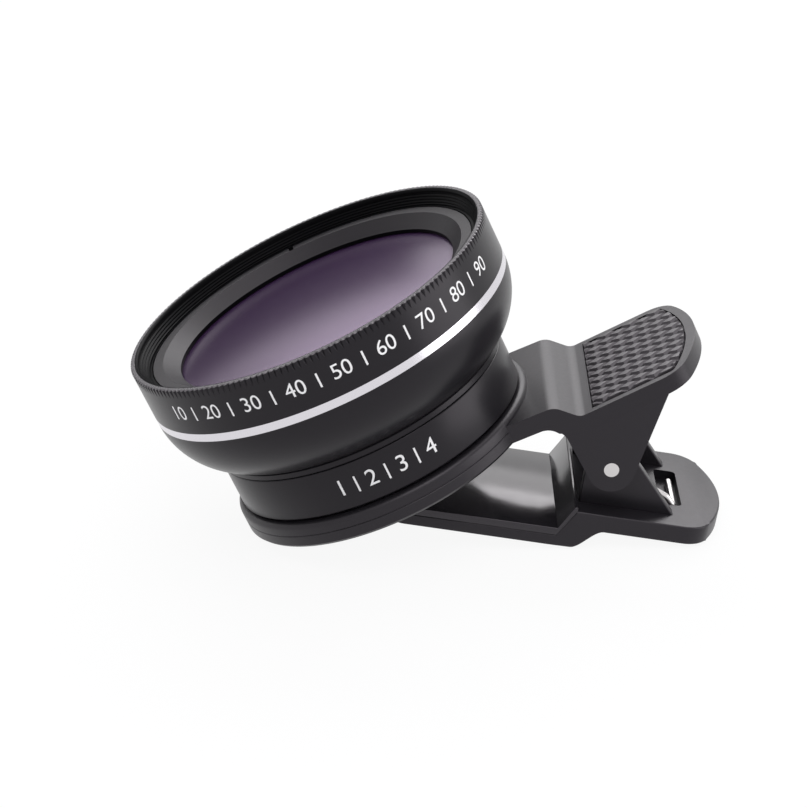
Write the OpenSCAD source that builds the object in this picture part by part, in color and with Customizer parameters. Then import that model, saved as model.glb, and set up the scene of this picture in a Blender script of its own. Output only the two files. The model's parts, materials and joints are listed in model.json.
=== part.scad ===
// Clip-on wide-angle and macro lens for a phone, resting on a table.
// Shapes are drawn in the lens frame and turned into the resting pose at the end.
// Lens frame: origin on the optical axis at the underside of the clip ring,
// x along the arm towards the handles, z along the optical axis to the front.

/* [Wide-angle lens] */
// Outer diameter of the filter thread in the front rim
filter_d = 37; // [36:0.5:40]
// Wall of the barrel outside the filter thread
rim_wall = 1.15; // [1.1:0.05:1.6]
// Height of the wide-angle lens from its foot to the front rim
wide_h = 13.34; // [13:0.02:15]
// Depth of the retaining ring's face below the front rim
face_depth = 1.54; // [1.2:0.02:1.9]
// Depth of the top of the bright band below the front rim
band_depth = 5.1; // [4.6:0.1:5.6]
// Width of the bright band
band_h = 0.86; // [0.5:0.02:1.2]
// Radius of the rounded shoulder under the bright band
bowl_r = 7.6; // [7.5:0.05:8]
// Number of notches round the front rim
notch_count = 192; // [160:4:240]
// Depth of one notch at the rim
notch_depth = 0.34; // [0.2:0.02:0.4]
// Height over which a notch runs out to a point
notch_h = 0.95; // [0.8:0.05:1.3]

/* [Macro lens] */
// Outer diameter of the macro lens
macro_d = 31.5; // [31:0.1:32]
// Height of the macro lens body
macro_h = 5; // [4.8:0.1:6]
// Diameter of the macro glass
macro_glass_d = 19; // [18:0.5:19.5]
// Diameter of the screw thread between the two lenses
joint_thread_d = 27; // [26.6:0.1:27.2]
// Diameter of the screw thread between the macro lens and the clip
mount_thread_d = 17; // [16.6:0.1:18]

/* [Clip ring] */
// Outer diameter of the clip ring
ring_d = 32.7; // [32.6:0.1:34]
// Height of the clip ring
ring_h = 2.9; // [2.8:0.1:3.2]
// Opening for the phone's camera in the floor of the ring
opening_d = 12; // [10:0.5:13]
// Thickness of the soft pad under the ring
ring_pad_t = 0.8; // [0.7:0.05:1]
// Outer diameter of the soft pad under the ring
ring_pad_d = 27; // [22:0.5:28]

/* [Clip levers] */
// Width of both levers
clip_w = 17.9; // [17.5:0.1:19]
// Distance of the hinge pin behind the optical axis
pivot_x = 21.45; // [21:0.05:22]
// Depth of the hinge pin below the underside of the ring
pivot_drop = 6.52; // [6.3:0.02:6.8]
// Diameter of the hinge pin
pin_d = 1.68; // [1.5:0.02:1.9]
// Length of the upper handle behind the step of the arm
handle_len = 13.35; // [12.5:0.05:14]
// Thickness of the upper handle
handle_t = 1.8; // [1.7:0.05:2]
// Thickness of the side cheeks of the upper lever
cheek_t = 2.2; // [2:0.05:2.3]
// Reach of the jaw in front of the hinge pin
jaw_reach = 22.3; // [21.5:0.1:23]
// Reach of the lower handle behind the hinge pin
tail_reach = 13.1; // [12.6:0.1:13.6]
// Distance of the top of the lower handle below the hinge pin
tail_drop = 5.15; // [5.1:0.05:5.3]
// Thickness of the lower handle
tail_t = 1.95; // [1.8:0.05:2.2]
// Step of the jaw below the lower handle
jaw_step = 2.2; // [2.1:0.05:2.4]
// Thickness of the soft jaw pad
jaw_pad_t = 0.8; // [0.7:0.05:0.9]
// Thickness of the ears of the lower lever
ear_t = 1.5; // [1.3:0.05:1.6]

/* [Finger grip] */
// Plain strip between the step of the arm and the finger grip
grip_strip = 1.3; // [1:0.1:2]
// Plain border round the finger grip
grip_border = 0.85; // [0.7:0.05:1]
// Depth of the recess for the finger grip
grip_depth = 0.6; // [0.5:0.05:0.8]
// Spacing of the grip's raised diamonds across the handle
diamond_pitch = 1.58; // [1.4:0.02:1.8]
// Depth of the grooves between the diamonds
groove_depth = 0.32; // [0.2:0.02:0.4]

/* [Spring] */
// Diameter of the spring wire
wire_d = 0.75; // [0.65:0.05:0.8]
// Mean radius of the spring's coils
coil_r = 1.9; // [1.8:0.05:2]
// Whole turns of the coil
coil_turns = 6; // [4:1:6]

/* [Fits] */
// Gap between two bodies that screw together face to face
seam_gap = 0.06; // [0.04:0.01:0.08]
// Radial clearance of a screw thread
thread_gap = 0.05; // [0.03:0.01:0.08]
// Radial clearance of the hinge pin in the lower lever
pin_gap = 0.05; // [0.03:0.01:0.08]
// Clearance round a glued insert
insert_gap = 0.06; // [0.04:0.01:0.1]
// Clearance between sliding side faces of the levers
side_gap = 0.2; // [0.15:0.05:0.3]
// Gap between the closed jaw and the ring pad
jaw_gap = 0.1; // [0.08:0.01:0.2]

/* [Hidden] */
$fn = 96;

// Heights along the optical axis
macro_foot = ring_h + seam_gap;
macro_top = macro_foot + macro_h;
wide_foot = macro_top + seam_gap;
front = wide_foot + wide_h;
face_z = front - face_depth;

// Wide-angle lens
rim_r = filter_d / 2 + rim_wall;
bore_r = filter_d / 2 - 0.37;
lip_r = filter_d / 2 + 0.34;
lip_h = 0.4;
relief_h = 0.1;
retainer_bore_r = bore_r - 0.25;
retainer_r = retainer_bore_r - insert_gap;
retainer_h = 1.6;
cone_top_r = filter_d / 2 - 1.82;
cone_foot_r = filter_d / 2 - 3.26;
glass_r = filter_d / 2 - 1;
glass_edge_top = face_z - retainer_h - 0.03;
glass_edge_h = 4.6;
glass_seat = glass_edge_top - glass_edge_h;
front_dome_r = 90;
back_dome_r = 22;
back_bowl_r = 13.4;
neck_r = macro_d / 2 + 0.05;
waist_r = neck_r - 0.5;
joint_depth = 1.9;
rim_chamfer = 0.12;
spanner_angle = 100;
notch_tilt = atan2(notch_depth, notch_h);
notch_half_w = 0.37 * 2 * PI * rim_r / notch_count;

// Macro lens
macro_seat = macro_foot + 2.2;
macro_glass_r = macro_glass_d / 2;
macro_edge_h = 1.35;
macro_clear_r = macro_glass_r - 0.9;
macro_dome_r = 18;
macro_ring_h = 0.8;
throat_r = 6.8;
mount_thread_l = 1.75;

// Clip ring
ring_r = ring_d / 2;
ring_chamfer = 0.45;
ring_foot_r = ring_r - ring_chamfer;
ring_lip_r = macro_d / 2 + 0.25;
ring_shoulder = 2.2;
ring_floor = 1.15;
pad_recess = ring_pad_t - 0.3;
ring_pad_in_r = opening_d / 2 + 0.3;

// Upper lever
half_w = clip_w / 2;
pin_r = pin_d / 2;
arm_low = 0.3;
arm_top = 2.25;
cheek_r = 2.4;
cheek_front = pivot_x - cheek_r - 0.2;
cheek_in = half_w - cheek_t;
handle_start = 21;
handle_low_z = 0.22;
handle_slope = 3.15;
handle_reach = handle_start + handle_len;
tip_r = 16;
tip_corner_r = 2.5;
grip_start = handle_start + grip_strip;
grip_tip = handle_reach - 1.15;
grip_proud = 0.15;
groove_angle = 29;
groove_half_w = 0.3;
grip_half = half_w - grip_border;

// Lower lever, measured from the hinge pin: u towards the handle, w away from the table
tail_low = -tail_drop - tail_t;
jaw_low = tail_low - jaw_step;
jaw_thick = 2;
jaw_face = jaw_low + jaw_thick;
jaw_floor = jaw_face - jaw_pad_t;
jaw_end_r = 40;
jaw_corner_r = 2;
pad_inset = 0.15;
knuckle_u = -2.9;
knuckle_len = 2.5;
ramp_foot_u = -4.2;
ramp_top_u = -2.6;
ramp_over = 0.5;
ear_r = 2.2;
ear_out = cheek_in - side_gap;
ear_in = ear_out - ear_t;
ear_foot_u = 7.6;
tail_round = 0.8;
pocket_start = 6.4;
pocket_end = 8.75;
pocket_half = 4.1;
pocket_depth = 1.05;
pocket_round = 0.5;

// Spring
foot_half = 2.75;
coil_pitch = wire_d + 0.03;
lower_foot = [pocket_end - 0.7, -tail_drop - pocket_depth + wire_d / 2 + 0.05];
lower_knee = [pocket_end - 1.6, -tail_drop + wire_d / 2 + 0.12];
upper_foot_x = handle_start + 0.57 * handle_len;

// Angle of the closed lower lever, from the jaw tip that meets the ring pad
jaw_tip_dist = norm([jaw_reach, jaw_face]);
jaw_rise = pivot_drop - 0.3 - jaw_gap;
lever_angle = atan2(-jaw_face, jaw_reach) + asin(jaw_rise / jaw_tip_dist);

// A point of the lower lever's side view in the lens frame
function lever_point(u, w) = [
    pivot_x + u * cos(lever_angle) + w * sin(lever_angle),
    -pivot_drop - u * sin(lever_angle) + w * cos(lever_angle)
];

// Resting pose: the low edge of the ring and the end of the lower handle touch the table
support = lever_point(tail_reach - tail_round, tail_low);
rest_tilt = atan2(-support[1], support[0] + ring_foot_r);
lift = ring_foot_r * sin(rest_tilt);
function rest_x(p) = p[0] * cos(rest_tilt) - p[1] * sin(rest_tilt);
x_low = rest_x([-rim_r, front - rim_chamfer]);
x_high = rest_x(lever_point(tail_reach, -tail_drop - 0.3));
shift = (x_low + x_high) / 2;

module at_rest() {
    translate([-shift, 0, lift]) rotate([0, -rest_tilt, 0]) children();
}

module on_lever() {
    at_rest() translate([pivot_x, 0, -pivot_drop]) rotate([0, lever_angle, 0]) children();
}

// Points of an arc, counter-clockwise when a1 is above a0
function arc(cx, cy, r, a0, a1, n = 8) = [
    for (i = [0:n]) let(a = a0 + (a1 - a0) * i / n) [cx + r * cos(a), cy + r * sin(a)]
];

// Depth of a spherical surface of radius r at the distance d from its axis
function sag(r, d) = r - sqrt(r * r - d * d);

// Outline of a tongue with a gently rounded end and rounded corners
function tongue(start, end, half, end_r, corner_r) =
    let(cx = end - end_r, cy = half - corner_r, far = end_r - corner_r)
    let(kx = cx + sqrt(far * far - cy * cy), k = atan2(cy, kx - cx))
    concat(
        [[start, -half]],
        arc(kx, -cy, corner_r, -90, -k, 5),
        arc(cx, 0, end_r, -k, k, 12),
        arc(kx, cy, corner_r, k, 90, 5),
        [[start, half]]
    );

// A side view given as x and z points, as thick as the span from y0 to y1
module side_plate(y0, y1, points) {
    translate([0, y1, 0]) rotate([90, 0, 0]) linear_extrude(y1 - y0) polygon(points);
}

module tube(r_in, r_out, z0, z1) {
    translate([0, 0, z0]) difference() {
        cylinder(r = r_out, h = z1 - z0);
        translate([0, 0, -1]) cylinder(r = r_in, h = z1 - z0 + 2);
    }
}

// Side view of the arm and the handle plate
plate_points = concat(
    [[ring_r - 4, arm_low]],
    arc(16.6, arm_low - 1.9, 1.9, 90, 30, 6),
    [[20.4, handle_low_z - handle_t], [handle_start, handle_low_z - handle_t + 0.02]],
    [[handle_reach, handle_low_z - handle_t + (handle_reach - handle_start) * tan(handle_slope)]],
    [[handle_reach, handle_low_z + (handle_reach - handle_start) * tan(handle_slope)]],
    [[handle_start, handle_low_z]],
    arc(handle_start - 0.1, handle_low_z + 1.1, 1.1, 270, 225, 5),
    arc(18.25, arm_top - 1.3, 1.3, 35, 90, 6),
    [[ring_r - 4, arm_top]]
);

// Side view of one cheek: the hinge boss, its straight front edge and its slanted back edge
cheek_corner = [handle_start + 0.667 * handle_len, handle_low_z - handle_t + 0.5];
cheek_points =
    let(cx = pivot_x, cz = -pivot_drop, d = cheek_corner - [pivot_x, -pivot_drop])
    let(back = atan2(d[1], d[0]) - acos(cheek_r / norm(d)))
    concat(
        [cheek_corner + [0, 0.4], [18, arm_low + 0.3]],
        arc(16.6, arm_low - 2.2, 2.2, 88, 12, 8),
        arc(cx, cz, cheek_r, 180, 360 + back, 14),
        [cheek_corner]
    );

module upper_lever() {
    color("#38363c") at_rest() difference() {
        union() {
            rotate_extrude() polygon([
                [opening_d / 2, 0], [ring_foot_r, 0], [ring_r, ring_chamfer],
                [ring_r, ring_shoulder - 0.2], [ring_r - 0.06, ring_shoulder + 0.1],
                [ring_lip_r + 0.08, ring_h - 0.12], [ring_lip_r - 0.04, ring_h], [opening_d / 2, ring_h]
            ]);
            intersection() {
                side_plate(-half_w, half_w, plate_points);
                translate([0, 0, -20]) linear_extrude(40)
                    polygon(tongue(ring_r - 6, handle_reach, half_w, tip_r, tip_corner_r));
            }
            for (s = [-1, 1]) {
                mid = s * (half_w + cheek_in) / 2;
                side_plate(mid - cheek_t / 2, mid + cheek_t / 2, cheek_points);
            }
        }
        translate([0, 0, ring_floor]) cylinder(r = mount_thread_d / 2, h = ring_h);
        tube(ring_pad_in_r - insert_gap, ring_pad_d / 2 + insert_gap, -1, pad_recess);
        translate([pivot_x, 0, -pivot_drop]) rotate([90, 0, 0])
            cylinder(r = pin_r, h = clip_w + 2, center = true);
        grip_place() translate([0, 0, -grip_depth]) linear_extrude(grip_depth + 1)
            polygon(tongue(grip_start, grip_tip, grip_half, tip_r + 1, 0.6));
    }
}

// The top of the handle plate, where the finger grip lies
module grip_place() {
    translate([handle_start, 0, handle_low_z]) rotate([0, -handle_slope, 0])
        translate([-handle_start, 0, 0]) children();
}

// The grip's top is cut into diamonds by two families of grooves
module grip_insert() {
    run = grip_tip - grip_start;
    rise = run * tan(groove_angle) / 2;
    lines = ceil((grip_half + rise) / diamond_pitch);
    color("#8d888c") at_rest() grip_place() difference() {
        translate([0, 0, -grip_depth]) linear_extrude(grip_depth + grip_proud)
            polygon(tongue(grip_start + insert_gap, grip_tip - insert_gap,
                grip_half - insert_gap, tip_r + 1, 0.55));
        for (s = [-1, 1]) for (i = [-lines:lines])
            translate([grip_start + run / 2, (i + 0.5) * diamond_pitch, grip_proud])
                rotate([90, 0, 90 + s * groove_angle])
                    linear_extrude(2 * run, center = true) polygon([
                        [-groove_half_w - 0.02, 0.02], [0, -groove_depth], [groove_half_w + 0.02, 0.02]
                    ]);
    }
}

module ring_pad() {
    color("#202022") at_rest()
        tube(ring_pad_in_r, ring_pad_d / 2, pad_recess - ring_pad_t, pad_recess);
}

module pivot_pin() {
    color("silver") at_rest() translate([pivot_x, 0, -pivot_drop]) rotate([90, 0, 0])
        cylinder(r = pin_r, h = clip_w, center = true);
}

// Side view of the plate of the lower lever, stepped down to the jaw
lever_points = [
    [-jaw_reach, jaw_low + 0.5], [-jaw_reach + 0.5, jaw_low],
    [knuckle_u - 0.5, jaw_low], [knuckle_u + 0.1, jaw_low + 0.3],
    [knuckle_u + knuckle_len - 0.5, tail_low - 0.2], [knuckle_u + knuckle_len + 0.2, tail_low],
    [tail_reach - tail_round, tail_low], [tail_reach, tail_low + tail_round],
    [tail_reach, -tail_drop - 0.3], [tail_reach - 0.3, -tail_drop],
    [ramp_top_u + 0.1, -tail_drop], [ramp_foot_u, jaw_floor], [-jaw_reach, jaw_floor]
];

// Side view of one ear: a round eye on the hinge pin and a slanted back edge
ear_points =
    let(foot = [ear_foot_u, -tail_drop])
    let(back = atan2(foot[1], foot[0]) + acos(ear_r / norm(foot)))
    concat(
        [[-ear_r, -tail_drop - 0.4], [ear_foot_u, -tail_drop - 0.4], foot],
        arc(0, 0, ear_r, back, 180, 14)
    );

module lower_lever() {
    color("#343238") on_lever() difference() {
        union() {
            intersection() {
                side_plate(-half_w, half_w, lever_points);
                translate([0, 0, -20]) linear_extrude(30)
                    polygon(tongue(-2, tail_reach, half_w, tip_r, tip_corner_r));
            }
            intersection() {
                side_plate(-half_w, half_w, lever_points);
                translate([0, 0, -20]) mirror([1, 0, 0]) linear_extrude(30)
                    polygon(tongue(1.9, jaw_reach, half_w, jaw_end_r, jaw_corner_r));
            }
            for (s = [-1, 1]) {
                mid = s * (ear_in + ear_out) / 2;
                side_plate(mid - ear_t / 2, mid + ear_t / 2, ear_points);
            }
        }
        rotate([90, 0, 0]) cylinder(r = pin_r + pin_gap, h = clip_w + 2, center = true);
        translate([0, 0, -tail_drop - pocket_depth]) linear_extrude(pocket_depth + 1) polygon([
            for (q = [[pocket_end, 1, 0], [pocket_start, 1, 90], [pocket_start, -1, 180], [pocket_end, -1, 270]])
                for (i = [0:6]) let(a = q[2] + 15 * i)
                    [q[0] + (q[0] == pocket_end ? -1 : 1) * pocket_round + pocket_round * cos(a),
                        q[1] * (pocket_half - pocket_round) + pocket_round * sin(a)]
        ]);
    }
}

// Side view of the soft pad: flat on the jaw, then up the step in front of the ears
pad_points = [
    [-jaw_reach, jaw_floor], [ramp_foot_u, jaw_floor], [ramp_top_u + 0.1, -tail_drop],
    [ramp_top_u + 0.1, -tail_drop + ramp_over - 0.1], [ramp_top_u, -tail_drop + ramp_over],
    [ramp_top_u - 0.25, -tail_drop + ramp_over - 0.1], [ramp_foot_u, jaw_face],
    [-jaw_reach, jaw_face]
];

module jaw_pad() {
    color("#8f8a8e") on_lever() intersection() {
        side_plate(-half_w + pad_inset, half_w - pad_inset, pad_points);
        translate([0, 0, -20]) mirror([1, 0, 0]) linear_extrude(30)
            polygon(tongue(1, jaw_reach, half_w - pad_inset, jaw_end_r, jaw_corner_r));
    }
}

// Route of the spring wire in the lower lever's own frame: a foot across the underside of the
// upper handle, a leg, the coil round the pin, a leg, and a foot across the lower handle's pocket
coil_steps = 14;
upper_foot_local = let(d = [upper_foot_x - pivot_x, pivot_drop + handle_low_z - handle_t
        + (upper_foot_x - handle_start) * tan(handle_slope) - wire_d / 2 - 0.05])
    [d[0] * cos(lever_angle) - d[1] * sin(lever_angle), d[0] * sin(lever_angle) + d[1] * cos(lever_angle)];
upper_base_a = atan2(upper_foot_local[1], upper_foot_local[0]) + acos(coil_r / norm(upper_foot_local));
lower_base_a = atan2(lower_knee[1], lower_knee[0]) - acos(coil_r / norm(lower_knee));
wind = lower_base_a + 360 - upper_base_a + 360 * coil_turns;
coil_count = ceil(coil_steps * wind / 360);
coil_half_y = wind / 360 * coil_pitch / 2;

// A rounded bend of the wire at b, from a and towards c
function bend(a, b, c, r, n = 5) =
    let(p = b + (a - b) / norm(a - b) * r, q = b + (c - b) / norm(c - b) * r)
    [for (i = [0:n]) let(t = i / n) (1 - t) * (1 - t) * p + 2 * t * (1 - t) * b + t * t * q];

upper_tip = [upper_foot_local[0], -foot_half, upper_foot_local[1]];
upper_corner = [upper_foot_local[0], coil_half_y, upper_foot_local[1]];
lower_corner = [lower_foot[0], -coil_half_y, lower_foot[1]];
lower_tip = [lower_foot[0], foot_half, lower_foot[1]];
coil_route = [
    for (i = [0:coil_count]) let(a = upper_base_a + wind * i / coil_count)
        [coil_r * cos(a), coil_half_y - 2 * coil_half_y * i / coil_count, coil_r * sin(a)]
];
wire_route = concat(
    [upper_tip], bend(upper_tip, upper_corner, coil_route[0], 0.6), coil_route,
    bend(coil_route[coil_count], [lower_knee[0], -coil_half_y, lower_knee[1]], lower_corner, 0.35, 3),
    bend([lower_knee[0], -coil_half_y, lower_knee[1]], lower_corner, lower_tip, 0.6), [lower_tip]
);

// Directions across the wire, carried along it without a twist
function carried(dirs, i, p) =
    let(q = p - (p * dirs[i]) * dirs[i], e = q / norm(q))
    i == len(dirs) - 1 ? [e] : concat([e], carried(dirs, i + 1, e));

// A round wire along a route, with a ring of points at each bend
module wire(route, r, sides = 8) {
    n = len(route);
    dirs = [for (i = [0:n - 1]) let(d = route[min(i + 1, n - 1)] - route[max(i - 1, 0)]) d / norm(d)];
    across = carried(dirs, 0, [1, 0, 0.2]);
    points = [for (i = [0:n - 1]) let(p = across[i], q = cross(dirs[i], p))
        for (k = [0:sides - 1]) let(a = 360 * k / sides)
            route[i] + r * (cos(a) * p + sin(a) * q)];
    faces = concat(
        [[for (k = [0:sides - 1]) k]],
        [for (i = [0:n - 2]) for (k = [0:sides - 1]) let(m = (k + 1) % sides)
            [i * sides + k, (i + 1) * sides + k, (i + 1) * sides + m, i * sides + m]],
        [[for (k = [sides - 1:-1:0]) (n - 1) * sides + k]]
    );
    polyhedron(points = points, faces = faces, convexity = 8);
}

module spring() {
    color("silver") on_lever() wire(wire_route, wire_d / 2);
}

module macro_barrel() {
    color("#2e2c30") at_rest() difference() {
        union() {
            rotate_extrude() polygon([
                [0, macro_foot], [macro_d / 2 - 0.3, macro_foot], [macro_d / 2, macro_foot + 0.3],
                [macro_d / 2, macro_top - 0.1], [macro_d / 2 - 0.1, macro_top], [0, macro_top]
            ]);
            translate([0, 0, macro_top - 1]) cylinder(r = joint_thread_d / 2, h = joint_depth + 0.8);
            translate([0, 0, macro_foot - mount_thread_l])
                cylinder(r = mount_thread_d / 2 - thread_gap, h = mount_thread_l + 1);
        }
        cylinder(r = throat_r, h = front);
        translate([0, 0, macro_seat]) cylinder(r = macro_glass_r + insert_gap, h = front);
        translate([0, 0, macro_top - 0.5]) cylinder(r = joint_thread_d / 2 - 2, h = front);
    }
}

module macro_lens() {
    top = macro_seat + macro_edge_h;
    crown = top + sag(macro_dome_r, macro_clear_r);
    dome_a = asin(macro_clear_r / macro_dome_r);
    color("#cfc8d8") at_rest() rotate_extrude() polygon(concat(
        [[0, macro_seat], [macro_glass_r, macro_seat], [macro_glass_r, top]],
        arc(0, crown - macro_dome_r, macro_dome_r, 90 - dome_a, 90, 12)
    ));
}

module macro_retainer() {
    base = macro_seat + macro_edge_h;
    color("#2a282c") at_rest() difference() {
        tube(macro_clear_r + 0.05, macro_glass_r, base, base + macro_ring_h);
        translate([0, 0, base + macro_ring_h / 2 + 5])
            cube([2 * macro_glass_r + 2, 1.2, 10], center = true);
    }
}

module wide_barrel() {
    band_top = front - band_depth;
    band_low = band_top - band_h;
    foot_a = acos((waist_r - rim_r + bowl_r) / bowl_r);
    color("#2c2a2e") at_rest() difference() {
        rotate_extrude() polygon(concat(
            [[0, wide_foot], [neck_r - 0.1, wide_foot], [neck_r, wide_foot + 0.1]],
            arc(rim_r - bowl_r, band_low, bowl_r, -foot_a, 0, 16),
            [[rim_r, band_top], [rim_r, front - rim_chamfer], [rim_r - rim_chamfer, front], [0, front]]
        ));
        for (i = [0:notch_count - 1]) rotate([0, 0, 360 * i / notch_count])
            translate([rim_r, 0, front - notch_h]) rotate([0, -notch_tilt, 0])
                translate([0, 0, -notch_h / 2]) linear_extrude(2 * notch_h)
                    polygon([[0, 0], [2 * notch_depth, -2 * notch_half_w], [2 * notch_depth, 2 * notch_half_w]]);
        translate([0, 0, wide_foot - 1]) cylinder(r = joint_thread_d / 2 + thread_gap, h = joint_depth + 1);
        rotate_extrude() polygon([
            [0, wide_foot], [joint_thread_d / 2 - 0.9, wide_foot + joint_depth - 0.5],
            [back_bowl_r + 0.2, glass_seat - 0.5], [back_bowl_r + 0.2, glass_seat + 1], [0, glass_seat + 1]
        ]);
        translate([0, 0, glass_seat]) cylinder(r = glass_r + insert_gap, h = front);
        translate([0, 0, glass_edge_top - 0.3]) cylinder(r = retainer_bore_r, h = front);
        translate([0, 0, face_z]) cylinder(r = bore_r, h = front);
        translate([0, 0, face_z]) cylinder(r = bore_r + 0.15, h = relief_h);
        translate([0, 0, front - lip_h]) cylinder(r1 = bore_r, r2 = 2 * lip_r - bore_r, h = 2 * lip_h);
    }
}

module front_lens() {
    clear_r = cone_foot_r - 0.1;
    crown = glass_edge_top + sag(front_dome_r, clear_r);
    front_a = asin(clear_r / front_dome_r);
    hollow_a = asin(back_bowl_r / back_dome_r);
    hollow_top = glass_seat + sag(back_dome_r, back_bowl_r);
    color("#7d6a8e") at_rest() rotate_extrude() polygon(concat(
        [[glass_r, glass_seat], [glass_r, glass_edge_top]],
        arc(0, crown - front_dome_r, front_dome_r, 90 - front_a, 90, 14),
        arc(0, hollow_top - back_dome_r, back_dome_r, 90, 90 - hollow_a, 14)
    ));
}

module front_retainer() {
    low = face_z - retainer_h;
    color("#555256") at_rest() difference() {
        rotate_extrude() polygon([
            [cone_foot_r, low], [retainer_r, low], [retainer_r, face_z], [cone_top_r, face_z]
        ]);
        for (a = [0, 180]) rotate([0, 0, a + spanner_angle])
            translate([cone_foot_r - 1, -0.6, low + 0.8]) cube([2.8, 1.2, retainer_h]);
    }
}

upper_lever();
grip_insert();
ring_pad();
pivot_pin();
lower_lever();
jaw_pad();
spring();
macro_barrel();
macro_lens();
macro_retainer();
wide_barrel();
front_lens();
front_retainer();
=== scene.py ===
"""A clip-on wide-angle and macro lens for a phone, resting on a pale table.

Lengths are millimetres until a piece is placed, and two frames carry them. The lens
frame has its origin on the optical axis at the underside of the clip ring, x along the
arm and z to the front. The lever frame has its origin on the hinge pin, x towards the
lower handle and z up from the jaw.
"""

from __future__ import annotations

import json
import logging
import math
from dataclasses import dataclass, field
from enum import Enum
from typing import Any, Callable, Sequence

import bmesh
import bpy
from mathutils import Matrix, Vector

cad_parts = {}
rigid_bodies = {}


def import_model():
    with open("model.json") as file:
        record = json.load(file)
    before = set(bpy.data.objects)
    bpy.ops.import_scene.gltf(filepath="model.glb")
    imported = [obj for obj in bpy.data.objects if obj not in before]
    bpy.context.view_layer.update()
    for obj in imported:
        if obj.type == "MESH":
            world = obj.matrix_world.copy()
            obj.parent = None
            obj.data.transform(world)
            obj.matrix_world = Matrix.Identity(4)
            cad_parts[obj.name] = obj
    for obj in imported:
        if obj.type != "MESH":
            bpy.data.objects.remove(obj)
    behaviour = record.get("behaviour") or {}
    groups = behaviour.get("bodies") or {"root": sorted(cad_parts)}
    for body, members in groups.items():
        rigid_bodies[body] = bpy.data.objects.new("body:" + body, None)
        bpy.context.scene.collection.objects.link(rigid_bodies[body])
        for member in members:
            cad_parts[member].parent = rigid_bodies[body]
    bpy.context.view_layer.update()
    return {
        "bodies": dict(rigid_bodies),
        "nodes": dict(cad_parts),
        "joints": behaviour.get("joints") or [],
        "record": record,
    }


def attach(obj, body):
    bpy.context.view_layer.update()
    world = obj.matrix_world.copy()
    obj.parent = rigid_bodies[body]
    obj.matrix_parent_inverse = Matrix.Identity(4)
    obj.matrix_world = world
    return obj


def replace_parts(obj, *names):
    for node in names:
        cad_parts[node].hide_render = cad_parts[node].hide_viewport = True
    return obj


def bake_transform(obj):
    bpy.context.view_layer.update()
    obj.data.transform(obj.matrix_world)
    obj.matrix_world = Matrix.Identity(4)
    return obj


LOG = logging.getLogger("clip_lens")
MM = 0.001
Point = tuple[float, float]
Colour = tuple[float, float, float]


class Body(Enum):
    """The moving bodies of the frame."""

    CLIP = "clip"
    JAW = "jaw"
    MACRO = "macro"
    MACRO_GLASS = "macro_travel"
    WIDE = "wide"
    WIDE_GLASS = "wide_travel"


class Slot(Enum):
    """The record's material slots."""

    CLIP_PLASTIC = "clip_plastic"
    GRIP = "grip_plastic"
    PAD = "soft_pad"
    ALUMINIUM = "black_aluminium"
    COATED_GLASS = "coated_glass"
    CLEAR_GLASS = "clear_glass"
    STEEL = "bright_steel"


# Finishes


def new_material(name: str) -> tuple[bpy.types.Material, Any, Any]:
    """Makes an empty node material.

    Args:
        name: The material's name.

    Returns:
        The material, its node tree and its Principled shader.
    """
    material = bpy.data.materials.new(name)
    material.use_nodes = True
    tree = material.node_tree
    return material, tree, tree.nodes["Principled BSDF"]


def set_inputs(node: Any, values: dict[str, Any]) -> None:
    """Sets the named sockets of a shader.

    Args:
        node: The shader node.
        values: Socket names with their plain values.
    """
    for name, value in values.items():
        node.inputs[name].default_value = value


def opaque(colour: Colour) -> tuple[float, float, float, float]:
    """A colour with full alpha."""
    return (*colour, 1.0)


@dataclass(frozen=True)
class Grain:
    """Fine surface relief from a noise on Object coordinates."""

    scale: float
    depth: float
    strength: float = 0.4

    def add(self, tree: Any, shader: Any) -> Any:
        """Wires the relief to a shader's normal.

        Args:
            tree: The node tree.
            shader: The Principled shader.

        Returns:
            The noise node, for other uses of the same pattern.
        """
        place = tree.nodes.new("ShaderNodeTexCoord")
        noise = tree.nodes.new("ShaderNodeTexNoise")
        noise.inputs["Scale"].default_value = self.scale
        noise.inputs["Detail"].default_value = 3.0
        bump = tree.nodes.new("ShaderNodeBump")
        bump.inputs["Strength"].default_value = self.strength
        bump.inputs["Distance"].default_value = self.depth * MM
        tree.links.new(place.outputs["Object"], noise.inputs["Vector"])
        tree.links.new(noise.outputs["Fac"], bump.inputs["Height"])
        tree.links.new(bump.outputs["Normal"], shader.inputs["Normal"])
        return noise


@dataclass(frozen=True)
class SatinBlack:
    """Black moulded plastic or anodised metal with a soft sheen."""

    name: str
    colour: Colour
    roughness: float
    spread: float
    metallic: float = 0.0
    level: float = 0.5
    grain: Grain = Grain(2600.0, 0.012)

    def make(self) -> bpy.types.Material:
        """Makes the material, with its roughness varied a little over the surface."""
        material, tree, shader = new_material(self.name)
        set_inputs(
            shader,
            {
                "Base Color": opaque(self.colour),
                "Metallic": self.metallic,
                "Specular IOR Level": self.level,
                "Specular Tint": opaque((1.0, 0.93, 1.0)),
            },
        )
        noise = self.grain.add(tree, shader)
        ramp = tree.nodes.new("ShaderNodeMapRange")
        ramp.inputs["To Min"].default_value = self.roughness - self.spread
        ramp.inputs["To Max"].default_value = self.roughness + self.spread
        tree.links.new(noise.outputs["Fac"], ramp.inputs["Value"])
        tree.links.new(ramp.outputs["Result"], shader.inputs["Roughness"])
        return material


@dataclass(frozen=True)
class BrightMetal:
    """Bright cut aluminium or drawn steel with fine turning lines."""

    name: str
    colour: Colour
    roughness: float
    grain: Grain = Grain(5200.0, 0.004)

    def make(self) -> bpy.types.Material:
        """Makes the material."""
        material, tree, shader = new_material(self.name)
        set_inputs(
            shader,
            {
                "Base Color": opaque(self.colour),
                "Metallic": 1.0,
                "Roughness": self.roughness,
            },
        )
        self.grain.add(tree, shader)
        return material


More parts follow.
